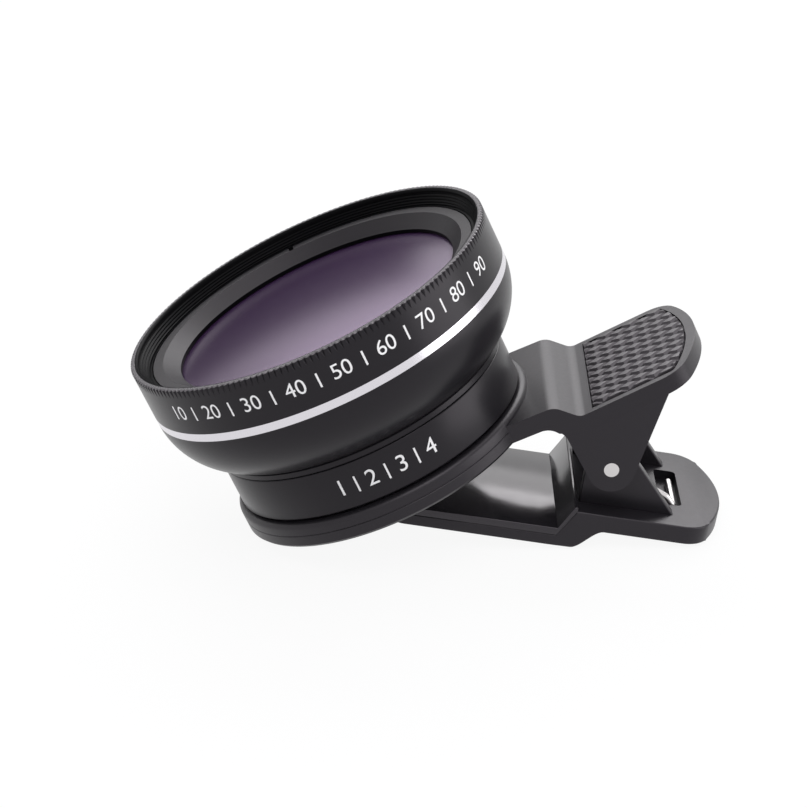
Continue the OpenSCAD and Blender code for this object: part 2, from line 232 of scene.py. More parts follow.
@dataclass(frozen=True)
class Glass:
    """Optical glass, with the tint of its anti-reflection coating."""

    name: str
    body: Colour
    reflection: Colour
    ior: float
    transmission: float
    level: float = 0.5
    roughness: float = 0.03

    def make(self) -> bpy.types.Material:
        """Makes the material."""
        material, _, shader = new_material(self.name)
        set_inputs(
            shader,
            {
                "Base Color": opaque(self.body),
                "Roughness": self.roughness,
                "IOR": self.ior,
                "Transmission Weight": self.transmission,
                "Specular IOR Level": self.level,
                "Specular Tint": opaque(self.reflection),
            },
        )
        return material


@dataclass(frozen=True)
class Print:
    """White printing ink."""

    name: str = "white_ink"
    colour: Colour = (0.85, 0.84, 0.85)

    def make(self) -> bpy.types.Material:
        """Makes the material."""
        material, tree, shader = new_material(self.name)
        set_inputs(shader, {"Base Color": opaque(self.colour), "Roughness": 0.5})
        Grain(4000.0, 0.006).add(tree, shader)
        return material


@dataclass
class Palette:
    """Every finish of the object, made once."""

    plastic: Any = field(
        default_factory=lambda: SatinBlack(
            "clip_satin", (0.012, 0.011, 0.0134), 0.36, 0.05, level=0.32, grain=Grain(2400.0, 0.01)
        ).make()
    )
    grip: Any = field(
        default_factory=lambda: SatinBlack(
            "grip_dark", (0.035, 0.032, 0.036), 0.42, 0.06, level=0.5, grain=Grain(3000.0, 0.02)
        ).make()
    )
    pad: Any = field(
        default_factory=lambda: SatinBlack(
            "pad_smooth", (0.014, 0.0128, 0.0155), 0.15, 0.03, level=0.5, grain=Grain(900.0, 0.01)
        ).make()
    )
    anodised: Any = field(
        default_factory=lambda: SatinBlack(
            "barrel_anodised", (0.009, 0.0083, 0.0102), 0.3, 0.04, level=0.24, grain=Grain(3600.0, 0.006)
        ).make()
    )
    # Near black with its reflection cut almost away: painted shade for the bore, the thread and the
    # retainer's foot inside the rim.
    thread: Any = field(
        default_factory=lambda: SatinBlack(
            "bore_painted_shade", (0.004, 0.004, 0.0045), 0.34, 0.04, level=0.03, grain=Grain(3600.0, 0.006)
        ).make()
    )
    # The rim's front land is painted lighter than the rest of the barrel: a painted highlight for the
    # light it catches.
    rim: Any = field(
        default_factory=lambda: SatinBlack(
            "rim_painted_highlight", (0.07, 0.067, 0.072), 0.28, 0.04, level=1.0, grain=Grain(5200.0, 0.004)
        ).make()
    )
    inner: Any = field(
        default_factory=lambda: SatinBlack(
            "inner_black", (0.012, 0.011, 0.013), 0.42, 0.05, level=0.24, grain=Grain(3600.0, 0.01)
        ).make()
    )
    band: Any = field(
        default_factory=lambda: BrightMetal("bright_band", (0.68, 0.66, 0.7), 0.22).make()
    )
    steel: Any = field(
        default_factory=lambda: BrightMetal("bare_steel", (0.6, 0.58, 0.58), 0.28).make()
    )
    coated: Any = field(
        default_factory=lambda: Glass(
            "coated_front", (0.032, 0.013, 0.047), (0.84, 0.42, 1.0), 1.42, 0.3, roughness=0.25
        ).make()
    )
    clear: Any = field(
        default_factory=lambda: Glass(
            "clear_macro", (0.5, 0.45, 0.6), (0.9, 0.8, 1.0), 1.5, 0.9
        ).make()
    )
    ink: Any = field(default_factory=lambda: Print().make())


# Placing and mesh tools


@dataclass(frozen=True)
class Places:
    """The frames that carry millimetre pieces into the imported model's frame."""

    lens: Matrix
    lever: Matrix

    TURN_HEIGHT = 5.0

    @classmethod
    def read(cls, frame: dict[str, Any]) -> "Places":
        """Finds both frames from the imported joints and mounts.


        Returns:
            The two placing matrices, with the scale from millimetres in them.
        """
        joints = {joint["name"]: joint for joint in frame["joints"]}
        mounts = {mount["name"]: mount for mount in frame["record"]["mounts"]}
        axis = Vector(joints["macro_lift"]["axis"]).normalized()
        foot = Vector(joints["macro_turn"]["pos_m"]) - axis * cls.TURN_HEIGHT * MM
        pin = Vector(joints["clip_hinge"]["pos_m"])
        up = Vector(mounts["jaw_face"]["axis"]).normalized()
        return cls(lens=cls.frame_at(foot, axis), lever=cls.frame_at(pin, up))

    @staticmethod
    def frame_at(origin: Vector, up: Vector) -> Matrix:
        """A frame with its z along up and its y along the row's y, in millimetres."""
        across = Vector((0, 1, 0))
        along = across.cross(up)
        turn = Matrix((along, across, up)).transposed().to_4x4()
        return Matrix.Translation(origin) @ turn @ Matrix.Scale(MM, 4)


def arc(centre: Point, radius: float, start: float, end: float, steps: int) -> list[Point]:
    """Points along an arc.

    Args:
        centre: The arc's centre.
        radius: Its radius.
        start: The first angle in degrees.
        end: The last angle in degrees.
        steps: The number of stretches.

    Returns:
        steps + 1 points.
    """
    angles = [math.radians(start + (end - start) * i / steps) for i in range(steps + 1)]
    return [
        (centre[0] + radius * math.cos(a), centre[1] + radius * math.sin(a)) for a in angles
    ]


def sag(radius: float, reach: float) -> float:
    """Depth of a sphere's surface at a distance from its axis."""
    return radius - math.sqrt(radius * radius - reach * reach)


def spun(outline: Sequence[Point], steps: int, closed: bool = True) -> bmesh.types.BMesh:
    """Turns an outline of radius and height round the z axis.

    Args:
        outline: The points of the cross-section.
        steps: The number of sectors.
        closed: Whether the last point joins the first.

    Returns:
        A mesh with merged seams and outward faces.
    """
    bm = bmesh.new()
    points = [bm.verts.new((r, 0.0, z)) for r, z in outline]
    pairs = list(zip(points, points[1:]))
    if closed:
        pairs.append((points[-1], points[0]))
    edges = [bm.edges.new(pair) for pair in pairs]
    bmesh.ops.spin(
        bm,
        geom=points + edges,
        cent=(0, 0, 0),
        axis=(0, 0, 1),
        dvec=(0, 0, 0),
        angle=math.tau,
        steps=steps,
        use_merge=True,
        use_duplicate=False,
    )
    bmesh.ops.remove_doubles(bm, verts=bm.verts[:], dist=1e-5)
    bmesh.ops.recalc_face_normals(bm, faces=bm.faces[:])
    return bm


def rounded_edges(
    bm: bmesh.types.BMesh,
    width: float,
    segments: int = 2,
    angle: float = 30.0,
    keep: Callable[[Vector], bool] | None = None,
) -> None:
    """Rounds the sharp edges of a mesh.

    Args:
        bm: The mesh.
        width: How far the rounding reaches from the edge.
        segments: Its number of facets.
        angle: Edges that turn by more than this many degrees are sharp.
        keep: Says by an edge's middle whether it is rounded; every edge when left out.
    """
    limit = math.radians(angle)
    sharp = [
        edge
        for edge in bm.edges
        if len(edge.link_faces) == 2
        and edge.calc_face_angle(0.0) > limit
        and (keep is None or keep((edge.verts[0].co + edge.verts[1].co) / 2))
    ]
    bmesh.ops.bevel(
        bm,
        geom=sharp,
        offset=width,
        segments=segments,
        affect="EDGES",
        profile=0.5,
        material=-1,
        clamp_overlap=True,
    )


def tongue(
    start: float, end: float, half: float, end_r: float, corner_r: float
) -> list[Point]:
    """The plan of a tongue with a gently rounded end and rounded corners.

    Args:
        start: Where its straight sides start.
        end: Where its rounded end reaches.
        half: Half its width.
        end_r: The radius of its end.
        corner_r: The radius of its corners.

    Returns:
        The points of the plan.
    """
    centre = end - end_r
    beside = half - corner_r
    far = end_r - corner_r
    corner_x = centre + math.sqrt(far * far - beside * beside)
    turn = math.degrees(math.atan2(beside, corner_x - centre))
    return [
        (start, -half),
        *arc((corner_x, -beside), corner_r, -90, -turn, 8),
        *arc((centre, 0), end_r, -turn, turn, 24),
        *arc((corner_x, beside), corner_r, turn, 90, 8),
        (start, half),
    ]


def prism(points: Sequence[Point], low: float, high: float) -> bmesh.types.BMesh:
    """Extrudes a plan of x and y points between two heights."""
    bm = bmesh.new()
    base = bm.faces.new([bm.verts.new((x, y, low)) for x, y in points])
    made = bmesh.ops.extrude_face_region(bm, geom=[base], use_keep_orig=True)
    top = [item for item in made["geom"] if isinstance(item, bmesh.types.BMVert)]
    bmesh.ops.translate(bm, vec=(0, 0, high - low), verts=top)
    bmesh.ops.recalc_face_normals(bm, faces=bm.faces[:])
    return bm


def side_prism(points: Sequence[Point], near: float, far: float) -> bmesh.types.BMesh:
    """Extrudes a side view of x and z points between two places along y."""
    bm = prism(points, -far, -near)
    turn = Matrix.Rotation(math.radians(90), 4, "X")
    bmesh.ops.transform(bm, matrix=turn, verts=bm.verts[:])
    return bm


def height_at(profile: Sequence[Point], x: float) -> float:
    """The height of a side profile at a place along x."""
    if x <= profile[0][0]:
        return profile[0][1]
    for (x0, z0), (x1, z1) in zip(profile, profile[1:]):
        if x <= x1:
            return z0 + (z1 - z0) * (x - x0) / max(x1 - x0, 1e-9)
    return profile[-1][1]


@dataclass
class Plate:
    """A plate with a rounded edge whose two faces follow side profiles."""

    plan: Sequence[Point]
    top: Sequence[Point]
    low: Sequence[Point]
    edge: float

    THICKNESS = 2.0

    def build(self) -> bmesh.types.BMesh:
        """Rounds a flat slab's edge, cuts it into strips and lays it on the profiles."""
        bm = prism(self.plan, 0.0, self.THICKNESS)
        rounded_edges(bm, self.edge, 5, 60.0)
        places = sorted({round(x, 3) for x, _ in (*self.top, *self.low)})
        for x in places[1:-1]:
            bmesh.ops.bisect_plane(
                bm,
                geom=bm.verts[:] + bm.edges[:] + bm.faces[:],
                plane_co=(x, 0, 0),
                plane_no=(1, 0, 0),
            )
        for vert in bm.verts:
            share = vert.co.z / self.THICKNESS
            low = height_at(self.low, vert.co.x)
            vert.co.z = low + share * (height_at(self.top, vert.co.x) - low)
        return bm


def joined(target: bmesh.types.BMesh, other: bmesh.types.BMesh) -> None:
    """Adds another mesh to the first and frees it."""
    mesh = bpy.data.meshes.new("joined")
    other.to_mesh(mesh)
    other.free()
    target.from_mesh(mesh)
    bpy.data.meshes.remove(mesh)


def carved(block: bmesh.types.BMesh, tool: bmesh.types.BMesh) -> bmesh.types.BMesh:
    """Cuts a tool's shape out of a block.

    Args:
        block: The block, which is freed here.
        tool: The closed shape to cut out, which is freed here.

    Returns:
        What is left of the block.
    """
    objects = []
    for name, source in (("block", block), ("tool", tool)):
        mesh = bpy.data.meshes.new(name)
        source.to_mesh(mesh)
        source.free()
        objects.append(bpy.data.objects.new(name, mesh))
        bpy.context.scene.collection.objects.link(objects[-1])
    cut = objects[0].modifiers.new("cut", "BOOLEAN")
    cut.operation = "DIFFERENCE"
    cut.solver = "MANIFOLD"
    cut.object = objects[1]
    bpy.context.view_layer.update()
    done = bpy.data.meshes.new_from_object(
        objects[0].evaluated_get(bpy.context.evaluated_depsgraph_get())
    )
    bm = bmesh.new()
    bm.from_mesh(done)
    for item in objects:
        bpy.data.objects.remove(item)
    bpy.data.meshes.remove(done)
    return bm


@dataclass
class Workshop:
    """Places meshes in the frame and dresses them."""

    frame: dict[str, Any]
    places: Places
    palette: Palette

    def place(
        self,
        name: str,
        bm: bmesh.types.BMesh,
        frame: Matrix,
        materials: Sequence[Any],
        body: Body | None,
        slot: Slot,
        smooth_angle: float = 32.0,
    ) -> bpy.types.Object:
        """Makes an object of a mesh in millimetres.

        Args:
            name: The piece's name.
            bm: Its mesh, which is freed here.
            frame: The frame that its millimetres are in.
            materials: Its materials, in the order of its faces' numbers.
            body: The body that it rides on, or None to leave it without one.
            slot: The record's material slot; not used.
            smooth_angle: Edges that turn by more than this many degrees stay sharp.

        Returns:
            The new object.
        """
        bmesh.ops.transform(bm, matrix=frame, verts=bm.verts[:])
        limit = math.radians(smooth_angle)
        for face in bm.faces:
            face.smooth = True
        for edge in bm.edges:
            edge.smooth = edge.calc_face_angle(0.0) < limit
        mesh = bpy.data.meshes.new(name)
        bm.to_mesh(mesh)
        bm.free()
        for material in materials:
            mesh.materials.append(material)
        piece = bpy.data.objects.new(name, mesh)
        bpy.context.scene.collection.objects.link(piece)
        if body is not None:
            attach(piece, body.value)
        LOG.info("made %s with %d faces", name, len(mesh.polygons))
        return piece

    def copied(self, node: str, frame: Matrix) -> bmesh.types.BMesh:
        """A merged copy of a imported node, in millimetres of one frame.

        Args:
            node: The node's name.
            frame: The frame that the copy is put in.

        Returns:
            The copy, with its flat faces joined.
        """
        bm = bmesh.new()
        bm.from_mesh(self.frame["nodes"][node].data)
        bmesh.ops.transform(bm, matrix=frame.inverted(), verts=bm.verts[:])
        bmesh.ops.remove_doubles(bm, verts=bm.verts[:], dist=0.002)
        bmesh.ops.dissolve_limit(
            bm, angle_limit=math.radians(0.6), verts=bm.verts[:], edges=bm.edges[:]
        )
        return bm

    def dress(self, node: str, material: Any) -> None:
        """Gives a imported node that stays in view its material."""
        piece = self.frame["nodes"][node]
        piece.data.materials.clear()
        piece.data.materials.append(material)
        LOG.info("dressed %s", node)


# Printed marks


@dataclass
class PrintedScale:
    """A ring of plain numbers and ticks printed on a barrel."""

    radius: float
    height: float
    first_angle: float
    last_angle: float
    numbers: Sequence[int]
    letter: float
    proud: float = 0.012

    CAP_SHARE = 0.7

    def number(self, value: int) -> bmesh.types.BMesh:
        """The flat mesh of one number, centred, in millimetres."""
        curve = bpy.data.curves.new("number", "FONT")
        curve.body = str(value)
        curve.size = self.letter / self.CAP_SHARE
        curve.align_x = "CENTER"
        curve.align_y = "CENTER"
        curve.resolution_u = 6
        text = bpy.data.objects.new("number", curve)
        bpy.context.scene.collection.objects.link(text)
        bpy.context.view_layer.update()
        depsgraph = bpy.context.evaluated_depsgraph_get()
        mesh = bpy.data.meshes.new_from_object(text.evaluated_get(depsgraph))
        bm = bmesh.new()
        bm.from_mesh(mesh)
        bpy.data.objects.remove(text)
        bpy.data.meshes.remove(mesh)
        return bm

    def tick(self, width: float) -> bmesh.types.BMesh:
        """The flat mesh of one tick."""
        bm = bmesh.new()
        size = Matrix.Diagonal((width, self.letter, 1.0, 1.0))
        bmesh.ops.create_grid(bm, x_segments=1, y_segments=4, size=0.5, matrix=size)
        return bm

    def wrap(self, flat: bmesh.types.BMesh, angle: float, target: bmesh.types.BMesh) -> None:
        """Wraps a flat mark on the barrel and adds it to another mesh.

        Args:
            flat: The mark, which is freed here.
            angle: The angle of its middle in degrees.
            target: The mesh that takes it.
        """
        radius = self.radius + self.proud
        for vert in flat.verts:
            turn = math.radians(angle) + vert.co.x / radius
            vert.co = Vector(
                (radius * math.cos(turn), radius * math.sin(turn), self.height + vert.co.y)
            )
        mesh = bpy.data.meshes.new("mark")
        flat.to_mesh(mesh)
        flat.free()
        target.from_mesh(mesh)
        bpy.data.meshes.remove(mesh)

    def build(self) -> bmesh.types.BMesh:
        """All numbers with a tick between each two."""
        target = bmesh.new()
        gaps = len(self.numbers) - 1
        pitch = (self.last_angle - self.first_angle) / max(gaps, 1)
        for index, value in enumerate(self.numbers):
            angle = self.first_angle + pitch * index
            self.wrap(self.number(value), angle, target)
            if index < gaps:
                self.wrap(self.tick(0.2), angle + pitch / 2, target)
        return target


# The two lenses


@dataclass
class WideLens:
    """The wide-angle lens: barrel, bright band, retaining ring and front glass."""

    filter_d: float = 37.0
    wall: float = 1.15
    foot: float = 8.02
    height: float = 13.34
    face_depth: float = 1.54
    band_depth: float = 5.1
    band_h: float = 0.86
    bowl_r: float = 7.6
    macro_d: float = 31.5
    notches: int = 192
    notch_depth: float = 0.24
    notch_h: float = 0.95
    notch_share: float = 0.42
    joint_d: float = 27.1
    joint_depth: float = 1.9
    retainer_h: float = 1.6
    spanner_angle: float = 100.0
    glass_edge_h: float = 4.6
    land: float = 0.5
    relief_h: float = 0.1
    front_dome_r: float = 90.0
    back_dome_r: float = 22.0
    back_bowl_r: float = 13.4
    thread_turns: int = 4
    thread_depth: float = 0.12

    def __post_init__(self) -> None:
        """Works out the radii and heights that follow from the fields."""
        self.front = self.foot + self.height
        self.rim_r = self.filter_d / 2 + self.wall
        self.bore_r = self.filter_d / 2 - 0.37
        self.lip_r = self.filter_d / 2 + 0.34
        self.face_z = self.front - self.face_depth
        self.seat_r = self.bore_r - 0.25
        self.cone_top_r = self.filter_d / 2 - 1.82
        self.cone_foot_r = self.filter_d / 2 - 3.26
        self.glass_r = self.filter_d / 2 - 1
        self.glass_top = self.face_z - self.retainer_h - 0.03
        self.glass_seat = self.glass_top - self.glass_edge_h
        self.neck_r = self.macro_d / 2 + 0.05
        self.band_top = self.front - self.band_depth
        self.band_low = self.band_top - self.band_h

    def thread(self, top: Point, low: Point) -> list[Point]:
        """The turns of the filter thread.

        Args:
            top: Radius and height of the thread's start, at the front.
            low: Radius and height of its end.

        Returns:
            The points of the turns, from the front down.
        """
        points = []
        for turn in range(self.thread_turns):
            for share, depth in ((0.1, 0.0), (0.5, self.thread_depth), (0.9, 0.0)):
                t = (turn + share) / self.thread_turns
                radius = top[0] + (low[0] - top[0]) * t + depth
                points.append((radius, top[1] + (low[1] - top[1]) * t))
        return points

    def barrel_outline(self) -> list[Point]:
        """The barrel's cross-section, outside first."""
        waist = self.neck_r - 0.12
        foot_angle = math.degrees(math.acos((waist - self.rim_r + self.bowl_r) / self.bowl_r))
        bowl = arc((self.rim_r - self.bowl_r, self.band_low), self.bowl_r, -foot_angle, 0, 20)
        joint_r = self.joint_d / 2
        lip_z = self.front - 0.45
        return [
            (joint_r, self.foot),
            (self.neck_r - 0.1, self.foot),
            (self.neck_r, self.foot + 0.1),
            (self.neck_r, self.foot + 0.6),
            *bowl,
            (self.rim_r, self.band_top),
            (self.rim_r, self.front - self.notch_h),
            (self.rim_r, self.front - 0.12),
            (self.rim_r - 0.12, self.front),
            *arc((self.rim_r - self.land, self.front - 0.3), 0.3, 90, 175, 5),
            (self.lip_r, lip_z),
            *self.thread((self.lip_r, lip_z), (self.bore_r, self.face_z + self.relief_h)),
            (self.bore_r + 0.15, self.face_z + self.relief_h),
            (self.bore_r + 0.15, self.face_z),
            (self.seat_r, self.face_z),
            (self.seat_r, self.glass_top - 0.3),
            (self.glass_r + 0.06, self.glass_top - 0.3),
            (self.glass_r + 0.06, self.glass_seat),
            (self.back_bowl_r + 0.2, self.glass_seat),
            (self.back_bowl_r + 0.2, self.glass_seat - 0.5),
            (joint_r - 0.85, self.foot + self.joint_depth),
            (joint_r, self.foot + self.joint_depth),
        ]

    def cut_notches(self, bm: bmesh.types.BMesh) -> None:
        """Cuts a pointed notch at every fourth sector of the rim.

        Args:
            bm: The spun barrel, with four sectors to a notch.
        """
        step = math.tau / (4 * self.notches)
        apex_z = self.front - self.notch_h
        apexes = []
        for vert in bm.verts[:]:
            height = vert.co.z - apex_z
            if vert.co.xy.length < self.rim_r - 0.13 or height < -0.01:
                continue
            index = round(math.atan2(vert.co.y, vert.co.x) / step) % 4
            share = height / self.notch_h
            if height < 0.01:
                if index == 0:
                    apexes.append(vert)
            elif index == 0:
                reach = (self.rim_r - self.notch_depth * share) / vert.co.xy.length
                vert.co.x *= reach
                vert.co.y *= reach
            elif index != 2:
                widen = (self.notch_share * share - 0.25) * 4 * step
                turn = Matrix.Rotation(widen if index == 1 else -widen, 3, "Z")
                vert.co = turn @ vert.co
        for apex in apexes:
            for face in list(apex.link_faces):
                if face.calc_center_median().z > apex_z and len(face.verts) == 4:
                    place = list(face.verts).index(apex)
                    bmesh.utils.face_split(face, apex, face.verts[(place + 2) % 4])

    def barrel(self, shop: Workshop) -> bpy.types.Object:
        """The barrel with its notched rim, thread and bright band."""
        bm = spun(self.barrel_outline(), 4 * self.notches)
        for face in bm.faces:
            middle = face.calc_center_median()
            reach = middle.xy.length
            if reach > self.rim_r - 0.05 and self.band_low < middle.z < self.band_top:
                face.material_index = 1
            # Faces inside the rim take the near-black finish, painted shade in the bore.
            elif reach < self.rim_r - self.land and middle.z > self.band_top:
                face.material_index = 2
            # The front land takes the rim finish, whose lighter colour is a painted highlight.
            elif middle.z > self.front - 0.1:
                face.material_index = 3
        self.cut_notches(bm)
        piece = shop.place(
            "barrel_wide",
            bm,
            shop.places.lens,
            [
                shop.palette.anodised,
                shop.palette.band,
                shop.palette.thread,
                shop.palette.rim,
            ],
            Body.WIDE,
            Slot.ALUMINIUM,
            28.0,
        )
        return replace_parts(piece, "wide_barrel") or piece

    def glass(self, shop: Workshop) -> bpy.types.Object:
        """The domed front glass, hollow at the back."""
        clear_r = self.cone_foot_r - 0.1
        crown = self.glass_top + sag(self.front_dome_r, clear_r)
        front_a = math.degrees(math.asin(clear_r / self.front_dome_r))
        hollow_a = math.degrees(math.asin(self.back_bowl_r / self.back_dome_r))
        hollow = self.glass_seat + sag(self.back_dome_r, self.back_bowl_r)
        front = arc((0, crown - self.front_dome_r), self.front_dome_r, 90 - front_a, 90, 24)
        back = arc((0, hollow - self.back_dome_r), self.back_dome_r, 90, 90 - hollow_a, 24)
        outline = [(self.glass_r, self.glass_seat), (self.glass_r, self.glass_top), *front, *back]
        bm = spun(outline, 128)
        piece = shop.place(
            "glass_front",
            bm,
            shop.places.lens,
            [shop.palette.coated],
            Body.WIDE_GLASS,
            Slot.COATED_GLASS,
        )
        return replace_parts(piece, "front_lens") or piece

    def retainer(self, shop: Workshop) -> bpy.types.Object:
        """The retaining ring with its coned face and two spanner notches."""
        low = self.face_z - self.retainer_h
        outline = [
            (self.cone_foot_r, low),
            (self.seat_r - 0.06, low),
            (self.seat_r - 0.06, self.face_z - 0.06),
            (self.seat_r - 0.12, self.face_z),
            (self.cone_top_r, self.face_z),
            (self.cone_foot_r, low + 0.4),
        ]
        bm = spun(outline, 192)
        for face in bm.faces:
            # The retainer's innermost faces take the same near-black finish, painted shade beside the
            # glass.
            if face.calc_center_median().xy.length < self.cone_foot_r + 0.02:
                face.material_index = 1
        for side in (0, 180):
            slot = bmesh.new()
            size = Matrix.Diagonal((1.3, 0.5, self.retainer_h, 1.0))
            turn = Matrix.Rotation(math.radians(self.spanner_angle + side), 4, "Z")
            middle = (self.seat_r - 0.5, 0, self.face_z + self.retainer_h / 2 - 0.35)
            place = turn @ Matrix.Translation(middle) @ size
            bmesh.ops.create_cube(slot, size=1.0, matrix=place)
            bm = carved(bm, slot)
        piece = shop.place(
            "ring_retaining",
            bm,
            shop.places.lens,
            [shop.palette.inner, shop.palette.thread],
            Body.WIDE,
            Slot.ALUMINIUM,
        )
        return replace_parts(piece, "front_retainer") or piece

    def scale(self, shop: Workshop) -> bpy.types.Object:
        """The printed row of numbers round the front of the barrel."""
        marks = PrintedScale(
            radius=self.rim_r,
            height=self.front - 2.71,
            first_angle=-136.5,
            last_angle=-23.5,
            numbers=range(10, 100, 10),
            letter=1.55,
        )
        return shop.place(
            "numbers_wide",
            marks.build(),
            shop.places.lens,
            [shop.palette.ink],
            Body.WIDE,
            Slot.ALUMINIUM,
        )

    def build(self, shop: Workshop) -> None:
        """Makes every piece of the wide-angle lens."""
        self.barrel(shop)
        self.glass(shop)
        self.scale(shop)
        self.retainer(shop)


@dataclass
class MacroLens:
    """The macro lens between the clip ring and the wide-angle lens."""

    diameter: float = 31.5
    foot: float = 2.96
    height: float = 5.0
    glass_d: float = 19.0
    seat_height: float = 2.2
    edge_h: float = 1.35
    dome_r: float = 18.0
    joint_r: float = 13.5
    stub_h: float = 1.7
    screw_r: float = 8.45
    screw_l: float = 1.75
    throat_r: float = 6.8

    def __post_init__(self) -> None:
        """Works out the heights that follow from the fields."""
        self.top = self.foot + self.height
        self.seat = self.foot + self.seat_height

    def barrel(self, shop: Workshop) -> bpy.types.Object:
        """The barrel with a screw stub at each end."""
        radius = self.diameter / 2
        bore = self.glass_d / 2 + 0.06
        outline = [
            (self.throat_r, self.foot - self.screw_l),
            (self.screw_r, self.foot - self.screw_l),
            (self.screw_r, self.foot),
            (radius - 0.3, self.foot),
            (radius, self.foot + 0.3),
            (radius, self.top - 0.1),
            (radius - 0.1, self.top),
            (self.joint_r, self.top),
            (self.joint_r, self.top + self.stub_h),
            (self.joint_r - 2, self.top + self.stub_h),
            (self.joint_r - 2, self.top - 0.5),
            (bore, self.top - 0.5),
            (bore, self.seat),
            (self.throat_r, self.seat),
        ]
        bm = spun(outline, 192)
        rounded_edges(bm, 0.05)
        piece = shop.place(
            "barrel_macro",
            bm,
            shop.places.lens,
            [shop.palette.anodised],
            Body.MACRO,
            Slot.ALUMINIUM,
        )
        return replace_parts(piece, "macro_barrel") or piece

    def glass(self, shop: Workshop) -> bpy.types.Object:
        """The flat-backed magnifying glass."""
        radius = self.glass_d / 2
        clear = radius - 0.9
        top = self.seat + self.edge_h
        crown = top + sag(self.dome_r, clear)
        angle = math.degrees(math.asin(clear / self.dome_r))
        dome = arc((0, crown - self.dome_r), self.dome_r, 90 - angle, 90, 16)
        bm = spun([(0, self.seat), (radius, self.seat), (radius, top), *dome], 96)
        piece = shop.place(
            "glass_macro",
            bm,
            shop.places.lens,
            [shop.palette.clear],
            Body.MACRO_GLASS,
            Slot.CLEAR_GLASS,
        )
        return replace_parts(piece, "macro_lens") or piece

    def scale(self, shop: Workshop) -> bpy.types.Object:
        """The printed numbers on the side of the barrel."""
        marks = PrintedScale(
            radius=self.diameter / 2,
            height=self.foot + 2.6,
            first_angle=-100.0,
            last_angle=-64.0,
            numbers=(1, 2, 3, 4),
            letter=1.75,
        )
        return shop.place(
            "numbers_macro",
            marks.build(),
            shop.places.lens,
            [shop.palette.ink],
            Body.MACRO,
            Slot.ALUMINIUM,
        )

    def build(self, shop: Workshop) -> None:
        """Makes every piece of the macro lens."""
        self.barrel(shop)
        self.glass(shop)
        self.scale(shop)
        shop.dress("macro_retainer", shop.palette.inner)


# The clip


@dataclass
class FingerGrip:
    """The grip let into the upper handle, cut into raised diamonds."""

    edge: float = 0.07
    share: float = 0.975
    shift: float = 0.1

    def build(self, shop: Workshop) -> None:
        """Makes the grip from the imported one, with its edges softened."""
        bm = shop.copied("grip_insert", shop.places.lens)
        rounded_edges(bm, self.edge, 2, 20.0)
        narrow = Matrix.Translation((0, self.shift, 0)) @ Matrix.Diagonal((1, self.share, 1, 1))
        bmesh.ops.transform(bm, matrix=narrow, verts=bm.verts[:])
        piece = shop.place(
            "grip_diamonds",
            bm,
            shop.places.lens,
            [shop.palette.grip],
            Body.CLIP,
            Slot.GRIP,
            40.0,
        )
        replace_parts(piece, "grip_insert")


